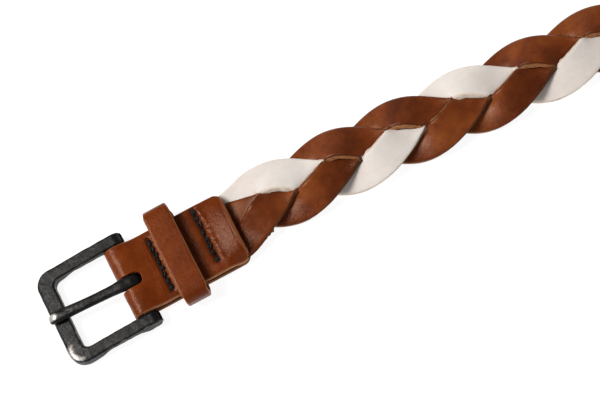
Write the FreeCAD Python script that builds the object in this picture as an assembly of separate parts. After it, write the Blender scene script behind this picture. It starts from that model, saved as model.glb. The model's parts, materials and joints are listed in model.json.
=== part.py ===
"""Plaited leather belt, 35 mm wide, lying straight and flat with its front side up.

The X axis runs from the buckle to the tip, Z is up, and the belt rests on z = 0.
Lengths along the belt are first measured from the heel bar, the bar that the leather tab and
the prong turn on. Every solid is then shifted so that the origin is under the belt's middle.
All sizes are in millimetres.
"""
import FreeCAD, Part
import math
import os

V = FreeCAD.Vector

# Belt
BELT_WIDTH = 35.0
LEATHER = 2.8
SIZE_LENGTH = 900.0            # heel bar to the middle prong hole
TIP_PAST_LAST_HOLE = 90.0
HOLE_COUNT = 5
HOLE_SPACING = 25.0
HOLE_RADIUS = 2.0

# Buckle
BAR_RADIUS = 2.25
FOLD_CLEARANCE = 0.15
FRAME_FRONT = -40.2            # outer edge of the front bar
FRAME_HALF_WIDTH = 24.25
WINDOW_FRONT = -32.2
WINDOW_HALF_WIDTH = 18.25
OUTER_CORNER = 7.0
WINDOW_CORNER = 3.5
BOSS_RADIUS = 4.0
BOSS_END = 6.0                 # how far the arms run past the heel bar's axis
ARM_UNDERSIDE = 3.9
FRAME_CROWN = 8.9
FRONT_TOP = 6.3
BAR_SOCKET_DEPTH = 4.5
BOSS_FOOT = -1.5                # the boss's flat underside ends here and rises to the arm
ARCH_START = -6.5
ARCH_END = -24.0               # from here the arm's underside falls to the front bar
FRONT_FOOT = -33.0
FRONT_ROUND = 1.8
CROWN_X = -19.0                # where the frame's upper side is measured
ARM_END_CORNER = 1.6

# Prong
PRONG_ROOT_WIDTH = 5.8
PRONG_TIP_WIDTH = 3.8
PRONG_CURL_RADIUS = 4.9
PRONG_BORE_CLEARANCE = 0.08
PRONG_TIP = -41.6
PRONG_ROOT_Y = -1.1
PRONG_TIP_Y = 1.3              # the prong lies a little askew
REST_GAP = 0.35                # between the prong and its worn seat in the front bar
REST_HEIGHT = 5.9
REST_SLOPE = 0.12
SEAT_RADIUS = 12.0

# Tab: one strip folded round the heel bar
FOLD_OUTER = BAR_RADIUS + FOLD_CLEARANCE + LEATHER
AXIS_HEIGHT = FOLD_OUTER
TAB_END = 55.2
TAB_CORNER = 4.5
LEG_GAP = 2.6                  # between the two legs, behind the fold
FOLD_RUN_OUT = 13.0            # where the front leg levels off
SLOT_WIDTH = 6.5
SLOT_END = 6.9
SLOT_CORNER = 2.0

# Keeper loop
KEEPER_START = 18.7
KEEPER_WIDTH = 13.3
KEEPER_LEATHER = 2.2
KEEPER_HALF_LENGTH = 24.7
KEEPER_Y = 0.0
KEEPER_BOTTOM = LEATHER + 0.2
KEEPER_TOP = 14.6
KEEPER_CORNER = 4.6
SEAM_GAP = 0.3
STAPLE_SPAN = 9.0
STAPLE_WIRE = 0.9

# Plait: three strips, each a wave along the belt, one third of a wave apart
WAVE_LENGTH = 98.0
WAVE_COUNT = 7
FIRST_PEAK = 72.0              # the light strip's first swing to +Y
SWING = 9.7
SWING_SKEW = 0.2
RISE = 2.9                     # up over one neighbour, down under the next
RISE_SHARPEN = 0.4
ROLL = -0.13
ROLL_SHARPEN = -0.26
STRIP_WIDTH = 12.6
STRIP_THICKNESS = 2.1
SKIVED_THICKNESS = 0.8         # the ends, pared down to fit inside the tab
PLAIT_HEIGHT = 6.2             # height of the plait's middle plane
PLAIT_START = TAB_END + 0.8
PLAIT_END = TAB_END + WAVE_LENGTH * WAVE_COUNT
SPREAD_RUN = 14.0              # over which the strips leave the tab and take up the wave
STRIP_TAIL = 11.7              # how far the ends reach inside the leather
STATION_STEP = 3.5
STATIONS_PER_FACE = 7
TAIL_SIDE = (10.4, 4.9, -8.6)  # where the strips lie across the tab: light, brown b, brown a
TAIL_LAYER = (-1, 0, 1)        # which lies under which there
DRIFT = 5.5                    # the plait's gentle sideways wander
DRIFT_LENGTH = 560.0
DRIFT_PEAK = 45.0
DRIFT_OFFSET = -1.5
DRIFT_FADE = 130.0

# Billet
BILLET_LEATHER = 3.2
BILLET_END_RUN = 30.0          # the part that covers the strips' ends
BACKING_LENGTH = 55.0
BACKING_LEATHER = LEATHER
STEP_RUN = 14.0
POINT_LENGTH = 32.0
TIP_NOSE = 5.0

# Stitching
THREAD_RADIUS = 0.65           # through the leather
UNDER_THREAD = 0.8
DASH_RADIUS = 1.1              # the doubled thread on the front side
DASH_GAP = 0.9
ROW_FRONT_X = 16.1
ROW_REAR_X = 40.6
ROW_LENGTH = 28.0
ROW_DASHES = 5
BILLET_ROW_A = 14.0
BILLET_ROW_B = 42.0

BILLET_START = PLAIT_END
BELT_TIP = SIZE_LENGTH + (HOLE_COUNT // 2) * HOLE_SPACING + TIP_PAST_LAST_HOLE
MIDDLE = (PRONG_TIP + BELT_TIP) / 2
TALL = 20.0                    # taller than any part, for cutting


def box(x0, x1, y0, y1, z0, z1):
    """A box between two corners."""
    return Part.makeBox(x1 - x0, y1 - y0, z1 - z0, V(x0, y0, z0))


def cylinder_y(x, z, radius, y0, y1):
    """A cylinder whose axis runs across the belt."""
    return Part.makeCylinder(radius, y1 - y0, V(x, y0, z), V(0, 1, 0))


def arc(start, through, end):
    """An arc edge through three points."""
    return Part.Arc(start, through, end).toShape()


def line(start, end):
    """A straight edge."""
    return Part.makeLine(start, end)


def side_solid(edges, half_width):
    """A closed outline in the XZ plane, extruded both ways across the belt."""
    face = Part.Face(Part.Wire(edges))
    face.translate(V(0, -half_width, 0))
    return face.extrude(V(0, 2 * half_width, 0))


def rounded_plan(x0, x1, half_width, start_corner, end_corner, height):
    """A rectangle seen from above, its corners rounded, extruded up from z = -1."""
    def corner(cx, cy, radius, from_angle):
        points = []
        for step in range(3):
            angle = math.radians(from_angle + 45 * step)
            points.append(V(cx + radius * math.cos(angle), cy + radius * math.sin(angle), -1))
        return points

    corners = [
        corner(x1 - end_corner, -half_width + end_corner, end_corner, -90),
        corner(x1 - end_corner, half_width - end_corner, end_corner, 0),
        corner(x0 + start_corner, half_width - start_corner, start_corner, 90),
        corner(x0 + start_corner, -half_width + start_corner, start_corner, 180),
    ]
    edges = []
    for index, points in enumerate(corners):
        edges.append(arc(*points))
        edges.append(line(points[2], corners[(index + 1) % 4][0]))
    return Part.Face(Part.Wire(edges)).extrude(V(0, 0, height + 1))


def make_frame():
    """The cast frame: front bar, two arms, and a boss round each end of the heel bar."""
    axis = AXIS_HEIGHT
    centre = BOSS_END - BOSS_RADIUS
    low, high = axis - BOSS_RADIUS, axis + BOSS_RADIUS
    front = FRAME_FRONT
    bulge = FRONT_ROUND * (1 - math.sqrt(0.5))
    profile = [
        arc(V(centre, 0, high), V(BOSS_END, 0, axis), V(centre, 0, low)),
        line(V(centre, 0, low), V(BOSS_FOOT, 0, low)),
        arc(V(BOSS_FOOT, 0, low), V(-3.6, 0, 2.2), V(ARCH_START, 0, ARM_UNDERSIDE)),
        line(V(ARCH_START, 0, ARM_UNDERSIDE), V(ARCH_END, 0, ARM_UNDERSIDE)),
        arc(V(ARCH_END, 0, ARM_UNDERSIDE), V(-29.5, 0, 2.3), V(FRONT_FOOT, 0, 0)),
        line(V(FRONT_FOOT, 0, 0), V(front + FRONT_ROUND, 0, 0)),
        arc(V(front + FRONT_ROUND, 0, 0), V(front + bulge, 0, bulge), V(front, 0, FRONT_ROUND)),
        line(V(front, 0, FRONT_ROUND), V(front, 0, FRONT_TOP - FRONT_ROUND)),
        arc(V(front, 0, FRONT_TOP - FRONT_ROUND), V(front + bulge, 0, FRONT_TOP - bulge),
            V(front + FRONT_ROUND, 0, FRONT_TOP)),
        arc(V(front + FRONT_ROUND, 0, FRONT_TOP), V(CROWN_X, 0, FRAME_CROWN), V(centre, 0, high)),
    ]
    solid = side_solid(profile, FRAME_HALF_WIDTH)
    plan = rounded_plan(front, BOSS_END, FRAME_HALF_WIDTH, OUTER_CORNER, ARM_END_CORNER, TALL)
    window = rounded_plan(WINDOW_FRONT, TAB_END, WINDOW_HALF_WIDTH, WINDOW_CORNER, 1.0, TALL)
    solid = solid.common(plan).cut(window)
    seat_start = V(front - 2, PRONG_TIP_Y, prong_rest_height(front - 2) + SEAT_RADIUS - REST_GAP)
    seat = Part.makeCylinder(SEAT_RADIUS, 12, seat_start, V(1, 0, REST_SLOPE))
    for side in (-1, 1):
        inner = WINDOW_HALF_WIDTH * side
        outer = (WINDOW_HALF_WIDTH + BAR_SOCKET_DEPTH) * side
        solid = solid.cut(cylinder_y(0, axis, BAR_RADIUS, min(inner, outer), max(inner, outer)))
    return solid.cut(seat)


def prong_rest_height(x):
    """Height of the prong's underside where it lies on the front bar."""
    return REST_HEIGHT + REST_SLOPE * (x - FRAME_FRONT)


def make_heel_bar():
    """The steel bar between the arms."""
    reach = WINDOW_HALF_WIDTH + BAR_SOCKET_DEPTH
    return cylinder_y(0, AXIS_HEIGHT, BAR_RADIUS, -reach, reach)


def make_prong():
    """The prong: a curl round the heel bar and a tapered shank to the front bar."""
    axis = AXIS_HEIGHT
    under_tip = prong_rest_height(FRAME_FRONT)
    under_bar = prong_rest_height(WINDOW_FRONT)
    hook = FRAME_FRONT - 0.25
    profile = [
        arc(V(2.6, 0, 9.35), V(-1.5, 0, 10.9), V(-8, 0, 10.5)),
        line(V(-8, 0, 10.5), V(-34, 0, 10.2)),
        arc(V(-34, 0, 10.2), V(-39.2, 0, 9.0), V(PRONG_TIP, 0, 6.2)),
        arc(V(PRONG_TIP, 0, 6.2), V(-41.4, 0, 4.9), V(hook, 0, 4.6)),
        line(V(hook, 0, 4.6), V(hook, 0, under_tip - 0.4)),
        line(V(hook, 0, under_tip - 0.4), V(hook + 1.2, 0, under_tip + 0.3)),
        line(V(hook + 1.2, 0, under_tip + 0.3), V(WINDOW_FRONT, 0, under_bar)),
        line(V(WINDOW_FRONT, 0, under_bar), V(-8, 0, 6.7)),
        arc(V(-8, 0, 6.7), V(-5.8, 0, 6.2), V(-4.2, 0, axis)),
        line(V(-4.2, 0, axis), V(0, 0, axis)),
        line(V(0, 0, axis), V(2.6, 0, 9.35)),
    ]
    shank = side_solid(profile, 10)
    root, tip = PRONG_ROOT_WIDTH / 2, PRONG_TIP_WIDTH / 2
    outline = [
        V(6, PRONG_ROOT_Y - root, 0), V(-6, PRONG_ROOT_Y - root, 0),
        V(-12, PRONG_ROOT_Y - root + 0.4, 0), V(PRONG_TIP, PRONG_TIP_Y - tip, 0),
        V(PRONG_TIP, PRONG_TIP_Y + tip, 0), V(-12, PRONG_ROOT_Y + root - 0.4, 0),
        V(-6, PRONG_ROOT_Y + root, 0), V(6, PRONG_ROOT_Y + root, 0),
    ]
    plan = Part.Face(Part.makePolygon(outline + outline[:1])).extrude(V(0, 0, TALL))
    curl = cylinder_y(0, axis, PRONG_CURL_RADIUS, PRONG_ROOT_Y - root, PRONG_ROOT_Y + root)
    bore = cylinder_y(0, axis, BAR_RADIUS + PRONG_BORE_CLEARANCE, -10, 10)
    return shank.common(plan).fuse(curl).removeSplitter().cut(bore)


def make_tab():
    """The folded tab: back leg, round fold with the prong slot, and front leg."""
    axis = AXIS_HEIGHT
    outer, inner = FOLD_OUTER, FOLD_OUTER - LEATHER
    level = LEATHER + LEG_GAP
    drop = axis + inner - level
    bend = (FOLD_RUN_OUT ** 2 + drop ** 2) / (4 * drop)
    fold_middle = axis + inner + LEATHER / 2
    first = V(0, 0, fold_middle - bend)
    second = V(FOLD_RUN_OUT, 0, fold_middle - drop + bend)
    turn = math.asin(FOLD_RUN_OUT / 2 / bend)

    def s_bend(offset):
        """The front leg's way down, on one face of the leather."""
        points = []
        for centre, radius, sign in ((first, bend + offset, 1), (second, bend - offset, -1)):
            for share in (0, 0.5, 1):
                angle = turn * (share if sign > 0 else 1 - share)
                points.append(V(centre.x + sign * radius * math.sin(angle), 0,
                                centre.z + sign * radius * math.cos(angle)))
        return points

    top = s_bend(LEATHER / 2)
    below = s_bend(-LEATHER / 2)
    edges = [
        line(V(TAB_END, 0, 0), V(0, 0, 0)),
        arc(V(0, 0, 0), V(-outer, 0, axis), V(0, 0, axis + outer)),
        arc(*top[:3]),
        arc(*top[3:]),
        line(top[5], V(TAB_END, 0, level + LEATHER)),
        line(V(TAB_END, 0, level + LEATHER), V(TAB_END, 0, level)),
        line(V(TAB_END, 0, level), below[5]),
        arc(*below[:2:-1]),
        arc(*below[2::-1]),
        arc(V(0, 0, axis + inner), V(-inner, 0, axis), V(0, 0, axis - inner)),
        line(V(0, 0, LEATHER), V(TAB_END, 0, LEATHER)),
        line(V(TAB_END, 0, LEATHER), V(TAB_END, 0, 0)),
    ]
    solid = side_solid(edges, BELT_WIDTH / 2)
    solid = solid.common(rounded_plan(-outer - 1, TAB_END, BELT_WIDTH / 2, 0.5, TAB_CORNER, TALL))
    slot = rounded_plan(-10, SLOT_END, SLOT_WIDTH / 2, SLOT_CORNER, SLOT_CORNER, TALL)
    slot.translate(V(0, PRONG_ROOT_Y, 0))
    return solid.cut(slot)


def rounded_loop(half_length, z0, z1, radius):
    """A rounded rectangle in the YZ plane, extruded over the keeper's width."""
    shape = rounded_plan(z0, z1, half_length, radius, radius, KEEPER_WIDTH - 1)
    shape.translate(V(0, 0, 1))
    shape.rotate(V(0, 0, 0), V(0, 1, 0), -90)
    shape.translate(V(KEEPER_START + KEEPER_WIDTH, KEEPER_Y, 0))
    return shape


def make_keeper():
    """The keeper loop, its ends butted together under the tab's front leg."""
    outer = rounded_loop(KEEPER_HALF_LENGTH, KEEPER_BOTTOM, KEEPER_TOP, KEEPER_CORNER)
    inner = rounded_loop(KEEPER_HALF_LENGTH - KEEPER_LEATHER, KEEPER_BOTTOM + KEEPER_LEATHER,
                         KEEPER_TOP - KEEPER_LEATHER, KEEPER_CORNER - KEEPER_LEATHER)
    seam = box(KEEPER_START - 1, KEEPER_START + KEEPER_WIDTH + 1, KEEPER_Y - SEAM_GAP / 2,
               KEEPER_Y + SEAM_GAP / 2, KEEPER_BOTTOM - 1, KEEPER_BOTTOM + KEEPER_LEATHER + 1)
    return outer.cut(inner).cut(seam)


def make_staple():
    """The wire staple that closes the keeper's seam from below."""
    x0 = KEEPER_START + KEEPER_WIDTH / 2 - STAPLE_WIRE / 2
    x1 = x0 + STAPLE_WIRE
    y0, y1 = KEEPER_Y - STAPLE_SPAN / 2, KEEPER_Y + STAPLE_SPAN / 2
    z0, z1 = KEEPER_BOTTOM, KEEPER_BOTTOM + KEEPER_LEATHER - 0.2
    staple = box(x0, x1, y0, y1, z0, z0 + STAPLE_WIRE * 0.6)
    for leg in (y0, y1 - STAPLE_WIRE):
        staple = staple.fuse(box(x0, x1, leg, leg + STAPLE_WIRE, z0, z1))
    return staple.removeSplitter()


def smooth_step(value):
    """0 before 0, 1 after 1, and a smooth rise between."""
    share = min(max(value, 0.0), 1.0)
    return share * share * (3 - 2 * share)


def plait_middle(x):
    """The plait's sideways wander at x, which dies out before the billet."""
    wander = DRIFT_OFFSET + DRIFT * math.cos(2 * math.pi * (x - DRIFT_PEAK) / DRIFT_LENGTH)
    return wander * smooth_step((PLAIT_END - SPREAD_RUN - x) / DRIFT_FADE)


def strip_section(x, strip):
    """The four corners of one strip's cross-section at x."""
    share = smooth_step((x - PLAIT_START) / SPREAD_RUN)
    share *= smooth_step((PLAIT_END - 0.8 - x) / SPREAD_RUN)
    wave = 2 * math.pi / WAVE_LENGTH
    angle = wave * (x - FIRST_PEAK) + 2 * math.pi * strip / 3
    side = SWING * math.cos(angle) + SWING_SKEW * math.sin(3 * angle) + plait_middle(x)
    slope = wave * (-SWING * math.sin(angle) + 3 * SWING_SKEW * math.cos(3 * angle))
    height = RISE * math.sin(2 * angle) + RISE_SHARPEN * math.sin(4 * angle)
    roll = ROLL * math.sin(angle) + ROLL_SHARPEN * math.sin(3 * angle)
    tail_height = LEATHER + LEG_GAP / 2 + TAIL_LAYER[strip] * (SKIVED_THICKNESS + 0.04)
    y = TAIL_SIDE[strip] + share * (side - TAIL_SIDE[strip])
    z = tail_height + share * (PLAIT_HEIGHT + height - tail_height)
    thickness = SKIVED_THICKNESS + share * (STRIP_THICKNESS - SKIVED_THICKNESS)
    across = V(-slope * share, 1, roll * share * math.sqrt(1 + (slope * share) ** 2))
    across.normalize()
    along = V(1, slope * share, 0)
    up = along.cross(across)
    up.normalize()
    middle = V(x, y, z)
    half = across * (STRIP_WIDTH / 2)
    rise = up * (thickness / 2)
    return [middle - half - rise, middle + half - rise, middle + half + rise, middle - half + rise]


def make_strip(strip):
    """One plait strip: ruled faces between its four corner curves, and two ends."""
    first, last = PLAIT_START - 0.8 - STRIP_TAIL, PLAIT_END + STRIP_TAIL
    count = round((last - first) / STATION_STEP)
    stations = [first + (last - first) * index / count for index in range(count + 1)]
    sections = [strip_section(x, strip) for x in stations]
    curves = []
    for corner in range(4):
        curve = Part.BSplineCurve()
        points = [section[corner] for section in sections]
        curve.interpolate(Points=points, Parameters=stations)
        curves.append(curve)
    joints = stations[:-1:STATIONS_PER_FACE] + stations[-1:]
    faces = []
    for start, end in zip(joints, joints[1:]):
        edges = [Part.Edge(curve, start, end) for curve in curves]
        for index in range(4):
            faces.append(Part.makeRuledSurface(edges[index], edges[(index + 1) % 4]))
    for section in (sections[0], sections[-1]):
        faces.append(Part.Face(Part.makePolygon(section + section[:1])))
    shell = Part.makeShell(faces)
    shell.sewShape()
    solid = Part.makeSolid(shell)
    if solid.Volume < 0:
        solid.reverse()
    return solid


def make_stitch_row(x, top):
    """One row of hand stitching: dashes on both faces, joined through the leather."""
    pitch = ROW_LENGTH / ROW_DASHES
    start = -ROW_LENGTH / 2
    floor = UNDER_THREAD + 0.25
    row = cylinder_y(x, floor, UNDER_THREAD, start - 0.8, start + ROW_LENGTH + 0.8)
    for index in range(ROW_DASHES + 1):
        y = start + index * pitch
        row = row.fuse(Part.makeCylinder(THREAD_RADIUS, top - floor, V(x, y, floor)))
        if index < ROW_DASHES:
            row = row.fuse(cylinder_y(x, top, DASH_RADIUS, y - 0.2, y + pitch - DASH_GAP))
    return row


def make_billet():
    """The billet: over the strips' ends, down past the backing, then flat to the tip."""
    over = LEATHER + LEG_GAP
    x = BILLET_START
    top, below = [V(x, 0, over + BILLET_LEATHER)], [V(x, 0, over)]
    flats = (BILLET_START + BILLET_END_RUN - STEP_RUN, BILLET_START + BACKING_LENGTH + 1.5)
    heights = (over, BACKING_LEATHER + 0.05, 0.0)
    edges_top, edges_below = [], []
    for index, start in enumerate(flats):
        high, low = heights[index], heights[index + 1]
        middle = V(start + STEP_RUN / 2, 0, (high + low) / 2)
        bend = (STEP_RUN ** 2 + (high - low) ** 2) / (4 * (high - low))
        turn = math.asin(STEP_RUN / 2 / bend)
        for edges, ends, offset in ((edges_top, top, BILLET_LEATHER), (edges_below, below, 0.0)):
            shift = V(0, 0, offset)
            sag = bend * (1 - math.cos(turn / 2))
            begin = V(start, 0, high) + shift
            half_way = middle + shift
            end = V(start + STEP_RUN, 0, low) + shift
            quarter = V(start + bend * math.sin(turn / 2), 0, high - sag) + shift
            last = V(start + STEP_RUN - bend * math.sin(turn / 2), 0, low + sag) + shift
            edges.append(line(ends[-1], begin))
            edges.append(arc(begin, quarter, half_way))
            edges.append(arc(half_way, last, end))
            ends.append(end)
    edges = [line(below[0], top[0])] + edges_top
    edges.append(line(top[-1], V(BELT_TIP, 0, BILLET_LEATHER)))
    edges.append(line(V(BELT_TIP, 0, BILLET_LEATHER), V(BELT_TIP, 0, 0)))
    edges.append(line(V(BELT_TIP, 0, 0), below[-1]))
    edges += edges_below[::-1]
    solid = side_solid(Part.__sortEdges__(edges), BELT_WIDTH / 2)
    return solid.common(billet_plan())


def billet_plan():
    """The billet seen from above: rounded end over the plait, pointed tip."""
    half = BELT_WIDTH / 2
    start, shoulder = BILLET_START, BELT_TIP - POINT_LENGTH
    r = TAB_CORNER
    cut = r * (1 - math.sqrt(0.5))
    nose_x, nose_y = BELT_TIP - TIP_NOSE * 0.35, TIP_NOSE * 0.75
    side_x, side_y = BELT_TIP - POINT_LENGTH * 0.38, half * 0.66

    def at(x, y):
        return V(x, y, -1)

    edges = [
        line(at(start + r, -half), at(shoulder, -half)),
        arc(at(shoulder, -half), at(side_x, -side_y), at(nose_x, -nose_y)),
        arc(at(nose_x, -nose_y), at(BELT_TIP, 0), at(nose_x, nose_y)),
        arc(at(nose_x, nose_y), at(side_x, side_y), at(shoulder, half)),
        line(at(shoulder, half), at(start + r, half)),
        arc(at(start + r, half), at(start + cut, half - cut), at(start, half - r)),
        line(at(start, half - r), at(start, -half + r)),
        arc(at(start, -half + r), at(start + cut, -half + cut), at(start + r, -half)),
    ]
    plan = Part.Face(Part.Wire(edges)).extrude(V(0, 0, TALL))
    for index in range(HOLE_COUNT):
        x = SIZE_LENGTH + (index - HOLE_COUNT // 2) * HOLE_SPACING
        plan = plan.cut(Part.makeCylinder(HOLE_RADIUS, 22, V(x, 0, -2)))
    return plan


def make_backing():
    """The short back layer under the strips' ends."""
    solid = rounded_plan(BILLET_START, BILLET_START + BACKING_LENGTH, BELT_WIDTH / 2,
                         TAB_CORNER, TAB_CORNER, BACKING_LEATHER)
    return solid.common(box(BILLET_START - 1, BELT_TIP, -30, 30, 0, BACKING_LEATHER))


def export(name, shape):
    """Shift a finished solid so that the origin is under the belt's middle, and write it."""
    shape.translate(V(-MIDDLE, 0, 0))
    shape.exportStep(os.path.join("parts", name + ".step"))


def main():
    os.makedirs("parts", exist_ok=True)
    leg_top = 2 * LEATHER + LEG_GAP
    export("buckle_frame", make_frame())
    export("heel_bar", make_heel_bar())
    export("prong", make_prong())
    export("buckle_tab", make_tab())
    export("keeper_loop", make_keeper())
    export("keeper_staple", make_staple())
    for strip, name in enumerate(("strand_white", "strand_brown_b", "strand_brown_a")):
        export(name, make_strip(strip))
    export("tab_stitch_front", make_stitch_row(ROW_FRONT_X, leg_top))
    export("tab_stitch_rear", make_stitch_row(ROW_REAR_X, leg_top))
    export("billet_strap", make_billet())
    export("billet_backing", make_backing())
    inner_top = LEATHER + LEG_GAP + BILLET_LEATHER
    outer_top = BACKING_LEATHER + BILLET_LEATHER + 0.05
    export("billet_stitch_inner", make_stitch_row(BILLET_START + BILLET_ROW_A, inner_top))
    export("billet_stitch_outer", make_stitch_row(BILLET_START + BILLET_ROW_B, outer_top))


main()
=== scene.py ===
"""Looks of the plaited leather belt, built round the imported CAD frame.

Lengths are in millimetres, measured from the heel bar's axis along the belt (x), across it (y)
and up from the floor (z), and place() turns them into the frame's metres.
"""
import json
import math

import bmesh
import bpy
import numpy as np
from mathutils import Matrix, Vector, noise


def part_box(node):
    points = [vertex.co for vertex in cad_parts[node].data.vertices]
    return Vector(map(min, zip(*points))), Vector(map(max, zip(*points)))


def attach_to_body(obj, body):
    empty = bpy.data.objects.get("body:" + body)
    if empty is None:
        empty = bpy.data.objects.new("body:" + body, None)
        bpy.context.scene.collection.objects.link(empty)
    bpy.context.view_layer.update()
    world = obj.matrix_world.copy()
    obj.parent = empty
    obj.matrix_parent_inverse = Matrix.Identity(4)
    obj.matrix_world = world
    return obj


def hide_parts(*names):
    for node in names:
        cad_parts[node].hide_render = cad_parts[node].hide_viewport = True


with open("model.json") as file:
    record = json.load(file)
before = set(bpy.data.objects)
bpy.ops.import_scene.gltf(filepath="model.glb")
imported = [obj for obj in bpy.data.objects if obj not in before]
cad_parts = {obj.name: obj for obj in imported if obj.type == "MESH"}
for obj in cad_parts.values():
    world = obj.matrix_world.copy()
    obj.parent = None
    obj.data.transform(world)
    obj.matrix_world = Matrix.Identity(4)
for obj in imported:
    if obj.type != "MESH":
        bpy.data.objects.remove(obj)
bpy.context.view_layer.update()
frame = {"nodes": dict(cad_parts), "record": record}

MM = 0.001

# Places read from the frame
BAR_LOW, BAR_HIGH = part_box("heel_bar")
AXIS_X = (BAR_LOW.x + BAR_HIGH.x) / 2
AXIS_Z = (BAR_LOW.z + BAR_HIGH.z) / 2 / MM


def node_range(node, axis):
    """A CAD node's extent along one axis, in millimetres from the heel bar's axis."""
    low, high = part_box(node)
    shift = AXIS_X if axis == 0 else 0.0
    return (low[axis] - shift) / MM, (high[axis] - shift) / MM


TAB_END = node_range("buckle_tab", 0)[1]
HALF_BELT = node_range("buckle_tab", 1)[1]
KEEPER_START, KEEPER_END = node_range("keeper_loop", 0)
KEEPER_Y0, KEEPER_Y1 = node_range("keeper_loop", 1)
KEEPER_Z0, KEEPER_Z1 = node_range("keeper_loop", 2)
FRAME_FRONT, BOSS_END = node_range("buckle_frame", 0)
FRAME_HALF = node_range("buckle_frame", 1)[1]
PRONG_ROOT_Y = node_range("prong", 1)[0] + 2.9
PRONG_TIP_Y = node_range("prong", 1)[1] - 1.9
PLAIT_END, BELT_TIP = node_range("billet_strap", 0)
BACKING_END = node_range("billet_backing", 0)[1]
ROW_FRONT = sum(node_range("tab_stitch_front", 0)) / 2
ROW_REAR = sum(node_range("tab_stitch_rear", 0)) / 2
BILLET_ROW_A = sum(node_range("billet_stitch_inner", 0)) / 2
BILLET_ROW_B = sum(node_range("billet_stitch_outer", 0)) / 2
MOUNTS = {mount["name"]: mount for mount in frame["record"]["mounts"]}
HOLES = [(MOUNTS["prong_hole_%d" % n]["pos_m"][0] - AXIS_X) / MM for n in range(1, 6)]
HOLE_RADIUS = MOUNTS["prong_hole_1"]["dims"]["r_mm"]

# Leather
LEATHER = 2.8
LEG_GAP = 2.6
FOLD_RUN_OUT = 13.0
STITCH = 3.5
STITCHES = 8
STITCH_DEPTH = 0.75            # how far a stitch row pulls the billet's surface down
STRAP_CORNER = 4.5
SLOT_HALF = 3.25
SLOT_ENDS = (5.7, 6.4)         # the prong slot's inner end, below and above mid height
SLOT_CORNERS = (2.9, 2.7)
KEEPER_LEATHER = 2.2
KEEPER_CORNER = 3.5
BILLET_LEATHER = 3.2
BILLET_STEP = 14.0             # the run over which the billet steps down a layer
BILLET_POINT = 32.0            # length of the pointed end

# Buckle
ARM_WIDTH = 6.0
FRONT_BAR = 8.0
FRAME_CORNER = 7.5
WINDOW_CORNER = 3.4
BOSS_RADIUS = 4.0
ARM_END_ROUND = 1.6
BEVEL = 0.95

# Plait
WAVE_LENGTH = 98.0
FIRST_PEAK = 72.8
SWING = 10.35
STRIP_WIDTH = 14.2
INNER_SWELL = 0.75             # the strips spread where their inner edges are squeezed together
STRIP_THICKNESS = 2.9
LOBE_TILT = 0.34               # the outer edges hang down, the inner ones ride up
SKIVED_THICKNESS = 0.8
SPREAD_RUN = 15.0
STRIP_TAIL = 11.0
TAIL_SIDE = (9.7, 6.4, -10.5)
TAIL_SLOPE = (0.42, -0.58, 0.52)
TAIL_BEND = 2.5
RIM_FLARE = 1.25               # how far the flesh side spreads past the grain on inner edges
OUTER_FLARE = 0.5
TAIL_LAYER = (-1, 0, 1)
TAIL_REACH = 60.0              # how far past the tab the tails' numbers count
END_SPACING = 8.8
DRIFT = 5.5
DRIFT_LENGTH = 560.0
DRIFT_PEAK = 45.0
DRIFT_OFFSET = -1.5
DRIFT_FADE = 130.0

# Camera: the belt's point at the middle of the view, the way back from it, and the framing
CAMERA_AIM = (84.5, -6.6, 0.5)
CAMERA_BACK = (0.045, -0.34, 0.94)
CAMERA_ROLL = 28.4             # degrees
CAMERA_DISTANCE = 1.7          # metres
VIEW_WIDTH = 0.2755            # metres across the view, at the aim
SENSOR = 36.0


def place(point):
    """Belt millimetres to frame metres."""
    return (point[0] * MM + AXIS_X, point[1] * MM, point[2] * MM)


def smooth_step(value):
    """0 up to 0, 1 from 1, and smooth between, for numbers and arrays."""
    share = np.clip(value, 0.0, 1.0)
    return share * share * (3 - 2 * share)


def ease(value):
    """smooth_step of one number."""
    return float(smooth_step(value))


def bell(offset, width):
    """1 at no offset, falling away on both sides over about a width."""
    return math.exp(-(offset / width) ** 2)


def bump_shape(value, centre, half_width):
    """1 at the centre, falling smoothly to 0 at half_width from it."""
    return 1 - smooth_step(abs(value - centre) / half_width)


def wobble(x, y, scale, seed):
    """Smooth noise between about -1 and 1 at a point in millimetres."""
    return noise.noise(Vector((x / scale, y / scale, seed * 7.31)))


# ---------------------------------------------------------------- meshes

def new_object(name, vertices, faces, attributes, material, smooth=True):
    """A mesh object from belt millimetres, with point attributes, joined to the scene."""
    mesh = bpy.data.meshes.new(name)
    mesh.from_pydata([place(v) for v in vertices], [], faces)
    for key, values in attributes.items():
        layer = mesh.attributes.new(key, "FLOAT", "POINT")
        layer.data.foreach_set("value", np.asarray(values, dtype=np.float32))
    mesh.materials.append(material)
    mesh.polygons.foreach_set("use_smooth", [smooth] * len(mesh.polygons))
    obj = bpy.data.objects.new(name, mesh)
    bpy.context.scene.collection.objects.link(obj)
    return obj


def tube_faces(rows, ring, closed):
    """Quads between successive rings, and end caps unless the rings close on themselves."""
    faces = []
    for i in range(rows if closed else rows - 1):
        a, b = i * ring, ((i + 1) % rows) * ring
        for j in range(ring):
            k = (j + 1) % ring
            faces.append((a + j, b + j, b + k, a + k))
    if not closed:
        faces.append(tuple(range(ring)))
        last = (rows - 1) * ring
        faces.append(tuple(last + j for j in reversed(range(ring))))
    return faces


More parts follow.
